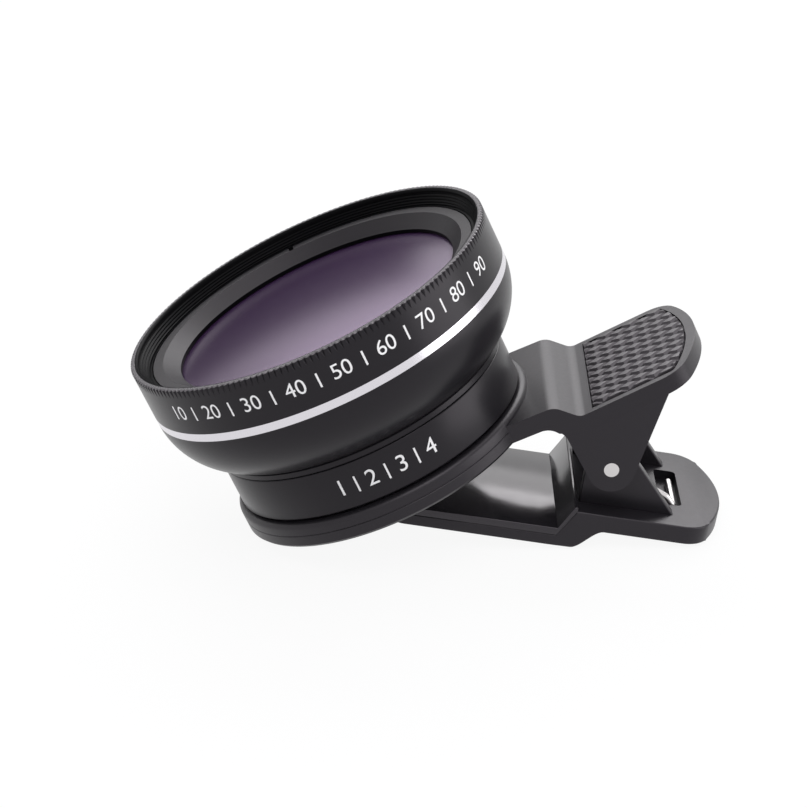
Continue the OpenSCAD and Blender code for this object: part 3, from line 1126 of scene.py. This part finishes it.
@dataclass
class UpperLever:
    """The ring, arm, handle and cheeks of the clip, with what is fixed to them."""

    half: float = 8.95
    edge: float = 0.4
    arm_top: float = 2.25
    arm_low: float = 0.3
    handle_start: float = 21.0
    handle_tip: float = 34.35
    handle_z: float = 0.22
    handle_t: float = 1.8
    slope: float = 3.15
    hump_r: float = 1.8
    valley_r: float = 1.3
    cheek_t: float = 2.2
    boss: Point = (21.45, -6.52)
    boss_r: float = 2.4
    recess: tuple[float, float] = (22.24, 33.32)
    recess_half: float = 8.18
    recess_depth: float = 0.6
    ring_r: float = 16.35
    ring_h: float = 2.9
    grip: FingerGrip = field(default_factory=FingerGrip)

    def rise(self, x: float) -> float:
        """How far the handle has risen at a place along x."""
        return (x - self.handle_start) * math.tan(math.radians(self.slope))

    def plate(self) -> bmesh.types.BMesh:
        """The arm and the handle, with the recess for the grip."""
        hump_x = self.handle_start - 2.91
        valley = (self.handle_start + 0.4, self.handle_z + self.valley_r + 0.02)
        top = [
            (10.0, self.arm_top),
            *arc((hump_x, self.arm_top - self.hump_r), self.hump_r, 90, 45, 8),
            *arc(valley, self.valley_r, 225, 273, 8),
            (self.handle_tip, self.handle_z + self.rise(self.handle_tip)),
        ]
        low = [
            (10.0, self.arm_low),
            *arc((16.6, self.arm_low - 1.9), 1.9, 90, 30, 8),
            (20.4, self.handle_z - self.handle_t),
            (self.handle_tip, self.handle_z - self.handle_t + self.rise(self.handle_tip)),
        ]
        plan = tongue(10.35, self.handle_tip, self.half, 16.0, 3.2)
        plate = Plate(plan, top, low, self.edge).build()
        start, tip = self.recess
        tool = prism(tongue(start, tip, self.recess_half, 17.0, 0.7), -self.recess_depth, 2.0)
        turn = Matrix.Rotation(math.radians(-self.slope), 4, "Y")
        place = (
            Matrix.Translation((self.handle_start, 0, self.handle_z))
            @ turn
            @ Matrix.Translation((-self.handle_start, 0, 0))
        )
        bmesh.ops.transform(tool, matrix=place, verts=tool.verts[:])
        return carved(plate, tool)

    def cheek(self, side: int) -> bmesh.types.BMesh:
        """One cheek with its boss round the pin, on the side given by 1 or -1."""
        corner = Vector((29.9, self.handle_z - self.handle_t + 0.5))
        reach = corner - Vector(self.boss)
        back = math.atan2(reach.y, reach.x) - math.acos(self.boss_r / reach.length)
        points = [
            (corner.x, corner.y + 0.4),
            (18.0, self.arm_low - 0.3),
            *arc((16.6, self.arm_low - 2.2), 2.2, 80, 12, 8),
            *arc(self.boss, self.boss_r, 180, 360 + math.degrees(back), 24),
            (corner.x, corner.y),
        ]
        outer = self.half - 0.02
        span = sorted((side * outer, side * (self.half - self.cheek_t)))
        bm = side_prism(points, *span)
        rounded_edges(bm, 0.22, 4, 25.0)
        return bm

    def ring(self) -> bmesh.types.BMesh:
        """The ring with its rounded lip, a fine line round it and the pad's recess."""
        lip = arc((self.ring_r - 0.55, self.ring_h - 0.55), 0.55, 0, 90, 6)
        outline = [
            (6.0, 0.0),
            (6.24, 0.0),
            (6.24, 0.5),
            (13.56, 0.5),
            (13.56, 0.0),
            (self.ring_r - 0.71, 0.0),
            (self.ring_r - 0.2, 0.23),
            (self.ring_r, 0.5),
            (self.ring_r, 1.5),
            (self.ring_r - 0.08, 1.58),
            (self.ring_r, 1.66),
            *lip,
            (8.5, self.ring_h),
            (8.5, 1.15),
            (6.0, 1.15),
        ]
        return spun(outline, 192)

    def build(self, shop: Workshop) -> None:
        """Makes the moulding, the grip and the pin and dresses the pad."""
        bm = self.plate()
        for side in (1, -1):
            joined(bm, self.cheek(side))
        joined(bm, self.ring())
        piece = shop.place(
            "lever_upper",
            bm,
            shop.places.lens,
            [shop.palette.plastic],
            Body.CLIP,
            Slot.CLIP_PLASTIC,
        )
        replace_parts(piece, "upper_lever")
        self.grip.build(shop)
        shop.dress("ring_pad", shop.palette.pad)
        pin = shop.copied("pivot_pin", shop.places.lens)
        rounded_edges(pin, 0.12, 2, 40.0)
        piece = shop.place(
            "pin_steel", pin, shop.places.lens, [shop.palette.steel], Body.CLIP, Slot.STEEL
        )
        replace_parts(piece, "pivot_pin")


@dataclass
class LowerLever:
    """The jaw, its soft pad, the ears and the lower handle."""

    half: float = 8.95
    edge: float = 0.38
    reach: float = 22.3
    tail: float = 13.1
    tail_top: float = -5.15
    tail_low: float = -7.1
    jaw_floor: float = -8.1
    jaw_low: float = -9.3
    knuckle: tuple[float, float] = (-2.6, 0.6)
    ear_r: float = 2.2
    ear_span: tuple[float, float] = (5.05, 6.55)
    ear_foot: float = 7.6
    pocket: tuple[float, float] = (6.4, 8.75)
    pocket_half: float = 4.1
    pocket_depth: float = 1.05

    def plate(self) -> bmesh.types.BMesh:
        """The jaw and the lower handle, with the pocket for the spring's foot."""
        first, last = self.knuckle
        drop = self.tail_low - self.jaw_low
        shares = [i / 12 for i in range(13)]
        step = [
            (first + (last - first) * t, self.jaw_low + drop * t * t * (3 - 2 * t))
            for t in shares
        ]
        top = [
            (-self.reach, self.jaw_floor),
            (-4.2, self.jaw_floor),
            (-2.5, self.tail_top),
            (self.tail, self.tail_top),
        ]
        low = [(-self.reach, self.jaw_low), *step, (self.tail, self.tail_low)]
        tail = tongue(0.0, self.tail, self.half, 16.0, 3.0)[1:-1]
        jaw = [(-x, -y) for x, y in tongue(0.0, self.reach, self.half, 40.0, 2.0)[1:-1]]
        plate = Plate([*tail, *jaw], top, low, self.edge).build()
        near, far = self.pocket
        corners = ((far, 1, 0), (near, 1, 90), (near, -1, 180), (far, -1, 270))
        pocket = [
            point
            for x, side, turn in corners
            for point in arc(
                (x - 0.5 if x == far else x + 0.5, side * (self.pocket_half - 0.5)),
                0.5,
                turn,
                turn + 90,
                6,
            )
        ]
        tool = prism(pocket, self.tail_top - self.pocket_depth, 2.0)
        return carved(plate, tool)

    def ear(self, side: int) -> bmesh.types.BMesh:
        """One ear with its round eye, on the side given by 1 or -1."""
        foot = Vector((self.ear_foot, self.tail_top))
        back = math.atan2(foot.y, foot.x) + math.acos(self.ear_r / foot.length)
        points = [
            (-self.ear_r, self.tail_top - 0.4),
            (self.ear_foot + 0.3, self.tail_top - 0.4),
            (foot.x, foot.y),
            *arc((0, 0), self.ear_r, math.degrees(back), 180, 20),
        ]
        span = sorted((side * self.ear_span[0], side * self.ear_span[1]))
        bm = side_prism(points, *span)
        rounded_edges(bm, 0.16, 3, 25.0)
        return bm

    def build(self, shop: Workshop) -> None:
        """Makes the moulding and the pad."""
        bm = self.plate()
        for side in (1, -1):
            joined(bm, self.ear(side))
        piece = shop.place(
            "lever_lower",
            bm,
            shop.places.lever,
            [shop.palette.plastic],
            Body.JAW,
            Slot.CLIP_PLASTIC,
        )
        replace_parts(piece, "lower_lever")
        pad = shop.copied("jaw_pad", shop.places.lever)
        wide = Matrix.Diagonal((1, self.half / max(v.co.y for v in pad.verts), 1, 1))
        bmesh.ops.transform(pad, matrix=wide, verts=pad.verts[:])
        rounded_edges(pad, 0.14, 3, 25.0)
        piece = shop.place(
            "pad_jaw",
            pad,
            shop.places.lever,
            [shop.palette.pad],
            Body.JAW,
            Slot.PAD,
        )
        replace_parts(piece, "jaw_pad")


@dataclass
class Spring:
    """The torsion spring: one wire with a coil round the pin and two bent feet.

    Points are given in the lever frame as x, y and z.
    """

    wire: float = 0.75
    coil_r: float = 1.9
    turns: int = 6
    pitch: float = 0.78
    foot_half: float = 2.75
    heel: float = 3.5
    upper_foot: Point = (3.283, 8.051)
    knee: Point = (7.15, -4.655)
    lower_foot: Point = (8.05, -5.775)
    coil_steps: int = 28

    def leave_angle(self, goal: Point, side: float) -> float:
        """The angle at which a straight leg to a goal leaves the coil, in radians."""
        reach = math.hypot(*goal)
        return math.atan2(goal[1], goal[0]) + side * math.acos(self.coil_r / reach)

    @staticmethod
    def bend(before: Vector, corner: Vector, after: Vector, reach: float) -> list[Vector]:
        """A rounded bend of the wire.

        Args:
            before: The point that the wire comes from.
            corner: The bend's corner.
            after: The point that the wire goes to.
            reach: How far from the corner the bend starts and ends.

        Returns:
            The points of the bend.
        """
        start = corner + (before - corner).normalized() * reach
        end = corner + (after - corner).normalized() * reach
        shares = [i / 8 for i in range(9)]
        return [
            start * (1 - t) ** 2 + corner * (2 * t * (1 - t)) + end * t**2 for t in shares
        ]

    def route(self) -> list[Vector]:
        """The wire's middle line from the upper foot to the lower one."""
        first = self.leave_angle(self.upper_foot, 1.0)
        last = self.leave_angle(self.knee, -1.0)
        wind = last + math.tau - first + math.tau * self.turns
        half = wind / math.tau * self.pitch / 2
        count = math.ceil(self.coil_steps * wind / math.tau)
        coil = [
            Vector(
                (
                    self.coil_r * math.cos(first + wind * i / count),
                    half - 2 * half * i / count,
                    self.coil_r * math.sin(first + wind * i / count),
                )
            )
            for i in range(count + 1)
        ]
        upper_tip = Vector((self.upper_foot[0], -self.foot_half, self.upper_foot[1]))
        upper_corner = Vector((self.upper_foot[0], half, self.upper_foot[1]))
        knee = Vector((self.knee[0], -self.heel, self.knee[1]))
        lower_corner = Vector((self.lower_foot[0], -self.heel, self.lower_foot[1]))
        lower_tip = Vector((self.lower_foot[0], self.foot_half, self.lower_foot[1]))
        return [
            upper_tip,
            *self.bend(upper_tip, upper_corner, coil[0], 0.6),
            *coil,
            *self.bend(coil[-1], knee, lower_corner, 0.35),
            *self.bend(knee, lower_corner, lower_tip, 0.6),
            lower_tip,
        ]

    def drawn(self) -> bmesh.types.BMesh:
        """The round wire along its route, in millimetres."""
        curve = bpy.data.curves.new("wire", "CURVE")
        curve.dimensions = "3D"
        curve.bevel_depth = self.wire / 2
        curve.bevel_resolution = 4
        curve.use_fill_caps = True
        spline = curve.splines.new("POLY")
        points = self.route()
        spline.points.add(len(points) - 1)
        for target, point in zip(spline.points, points):
            target.co = (*point, 1.0)
        wire = bpy.data.objects.new("wire", curve)
        bpy.context.scene.collection.objects.link(wire)
        bpy.context.view_layer.update()
        mesh = bpy.data.meshes.new_from_object(
            wire.evaluated_get(bpy.context.evaluated_depsgraph_get())
        )
        bm = bmesh.new()
        bm.from_mesh(mesh)
        bpy.data.objects.remove(wire)
        bpy.data.meshes.remove(mesh)
        bmesh.ops.remove_doubles(bm, verts=bm.verts[:], dist=0.0005)
        bmesh.ops.recalc_face_normals(bm, faces=bm.faces[:])
        return bm

    def build(self, shop: Workshop) -> None:
        """Makes the wire in the lever frame, riding on no body."""
        piece = shop.place(
            "spring_wire",
            self.drawn(),
            shop.places.lever,
            [shop.palette.steel],
            None,
            Slot.STEEL,
            50.0,
        )
        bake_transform(piece)
        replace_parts(piece, "spring")


# The studio


@dataclass
class Studio:
    """The pale floor, the lamps, the world and the camera."""

    elevation: float = 24.13
    azimuth: float = 0.33
    roll: float = -0.61
    aim: tuple[float, float, float] = (-2.57, 0.0, 12.54)
    distance: float = 271.85
    focal_px: float = 2629.0
    frame_px: int = 808
    sensor: float = 36.0

    def camera(self) -> None:
        """The camera at the photograph's angle."""
        up_angle = math.radians(self.elevation)
        turn = math.radians(self.azimuth)
        ahead = Vector(
            (
                -math.sin(turn) * math.cos(up_angle),
                math.cos(turn) * math.cos(up_angle),
                -math.sin(up_angle),
            )
        )
        level = ahead.cross(Vector((0, 0, 1))).normalized()
        above = level.cross(ahead)
        lean = math.radians(self.roll)
        right = level * math.cos(lean) + above * math.sin(lean)
        top = right.cross(ahead)
        turned = Matrix((right, top, -ahead)).transposed().to_4x4()
        data = bpy.data.cameras.new("camera")
        data.sensor_width = self.sensor
        data.lens = self.sensor * self.focal_px / self.frame_px
        data.clip_start = 0.01
        camera = bpy.data.objects.new("camera", data)
        place = (Vector(self.aim) - ahead * self.distance) * MM
        camera.matrix_world = Matrix.Translation(place) @ turned
        bpy.context.scene.collection.objects.link(camera)
        bpy.context.scene.camera = camera

    @staticmethod
    def seen_white(tree: Any, lit: Any, share: float) -> Any:
        """Mixes plain white over a shader for rays that look at it.

        Args:
            tree: The node tree.
            lit: The shader's output socket under light.
            share: How much of what the camera sees is plain white.

        Returns:
            The mixed shader's output socket.
        """
        path = tree.nodes.new("ShaderNodeLightPath")
        white = tree.nodes.new("ShaderNodeEmission")
        set_inputs(white, {"Color": (1, 1, 1, 1), "Strength": 1.0})
        some = tree.nodes.new("ShaderNodeMath")
        some.operation = "MAXIMUM"
        any_ray = tree.nodes.new("ShaderNodeMath")
        any_ray.operation = "MAXIMUM"
        scale = tree.nodes.new("ShaderNodeMath")
        scale.operation = "MULTIPLY"
        scale.inputs[1].default_value = share
        mix = tree.nodes.new("ShaderNodeMixShader")
        tree.links.new(path.outputs["Is Camera Ray"], some.inputs[0])
        tree.links.new(path.outputs["Is Glossy Ray"], some.inputs[1])
        tree.links.new(some.outputs[0], any_ray.inputs[0])
        tree.links.new(path.outputs["Is Transmission Ray"], any_ray.inputs[1])
        tree.links.new(any_ray.outputs[0], scale.inputs[0])
        tree.links.new(scale.outputs[0], mix.inputs["Fac"])
        tree.links.new(lit, mix.inputs[1])
        tree.links.new(white.outputs[0], mix.inputs[2])
        return mix.outputs[0]

    def floor(self) -> None:
        """A wide pale floor that keeps a faint shadow."""
        bm = bmesh.new()
        bmesh.ops.create_circle(bm, cap_ends=True, segments=96, radius=1.6)
        mesh = bpy.data.meshes.new("floor")
        bm.to_mesh(mesh)
        bm.free()
        material = bpy.data.materials.new("pale_floor")
        material.use_nodes = True
        tree = material.node_tree
        tree.nodes.clear()
        matt = tree.nodes.new("ShaderNodeBsdfDiffuse")
        matt.inputs["Color"].default_value = (0.86, 0.86, 0.87, 1)
        out = tree.nodes.new("ShaderNodeOutputMaterial")
        tree.links.new(self.seen_white(tree, matt.outputs[0], 0.92), out.inputs["Surface"])
        mesh.materials.append(material)
        floor = bpy.data.objects.new("floor", mesh)
        bpy.context.scene.collection.objects.link(floor)

    def world(self) -> None:
        """Even pale light from all round."""
        world = bpy.data.worlds.new("studio")
        bpy.context.scene.world = world
        world.use_nodes = True
        tree = world.node_tree
        tree.nodes.clear()
        dim = tree.nodes.new("ShaderNodeBackground")
        set_inputs(dim, {"Color": (0.96, 0.97, 1.0, 1), "Strength": 0.3})
        out = tree.nodes.new("ShaderNodeOutputWorld")
        tree.links.new(self.seen_white(tree, dim.outputs[0], 1.0), out.inputs["Surface"])

    @staticmethod
    def flag(place: Vector, size: tuple[float, float], lean: float) -> None:
        """A dark card behind the object, outside the picture.

        Args:
            place: Its middle in metres.
            size: Its width and height in metres.
            lean: How far it leans to the left, in degrees.
        """
        bm = bmesh.new()
        turn = Matrix.Rotation(math.radians(-lean), 4, "Y") @ Matrix.Rotation(
            math.radians(90), 4, "X"
        )
        shape = Matrix.Translation(place) @ turn @ Matrix.Diagonal((*size, 1.0, 1.0))
        bmesh.ops.create_grid(bm, x_segments=1, y_segments=1, size=0.5, matrix=shape)
        mesh = bpy.data.meshes.new("flag")
        bm.to_mesh(mesh)
        bm.free()
        material, _, shader = new_material("dark_card")
        set_inputs(shader, {"Base Color": (0.05, 0.05, 0.05, 1), "Roughness": 0.9})
        mesh.materials.append(material)
        card = bpy.data.objects.new("flag", mesh)
        card.visible_camera = False
        card.visible_shadow = False
        card.visible_diffuse = False
        bpy.context.scene.collection.objects.link(card)

    @staticmethod
    def lamp(name: str, place: Vector, size: tuple[float, float], watts: float) -> None:
        """A soft box that faces the object.

        Args:
            name: The lamp's name.
            place: Its place in metres.
            size: Its width and height in metres.
            watts: Its power.
        """
        data = bpy.data.lights.new(name, "AREA")
        data.shape = "RECTANGLE"
        data.size, data.size_y = size
        data.energy = watts
        lamp = bpy.data.objects.new(name, data)
        aim = Vector((0, 0, 0.015)) - place
        lamp.matrix_world = (
            Matrix.Translation(place) @ aim.to_track_quat("-Z", "Y").to_matrix().to_4x4()
        )
        bpy.context.scene.collection.objects.link(lamp)

    def build(self) -> None:
        """Sets the whole studio."""
        self.camera()
        self.floor()
        self.world()
        self.lamp("back_low", Vector((0.0, 0.6, 0.28)), (0.9, 0.16), 0.6)
        self.lamp("back_box", Vector((0.0, 0.52, 0.5)), (0.9, 0.36), 4.2)
        self.flag(Vector((-0.057, 0.13, 0.037)), (0.08, 0.074), 22.0)
        self.lamp("overhead", Vector((0.0, 0.0, 0.6)), (0.5, 0.5), 1.2)
        self.lamp("right_strip", Vector((0.49, -0.1, 0.06)), (0.36, 0.5), 1.5)
        self.lamp("high_front", Vector((0.0, -0.35, 0.5)), (0.4, 0.3), 1.1)
        bpy.context.scene.view_settings.view_transform = "Standard"


def main() -> None:
    """Builds the lens, the clip and the studio in order."""
    logging.basicConfig(level=logging.INFO, format="%(name)s: %(message)s")
    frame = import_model()
    shop = Workshop(frame, Places.read(frame), Palette())
    for part in (WideLens(), MacroLens(), UpperLever(), LowerLever(), Spring()):
        part.build(shop)
        LOG.info("finished %s", type(part).__name__)
    Studio().build()


if __name__ == "__main__":
    main()
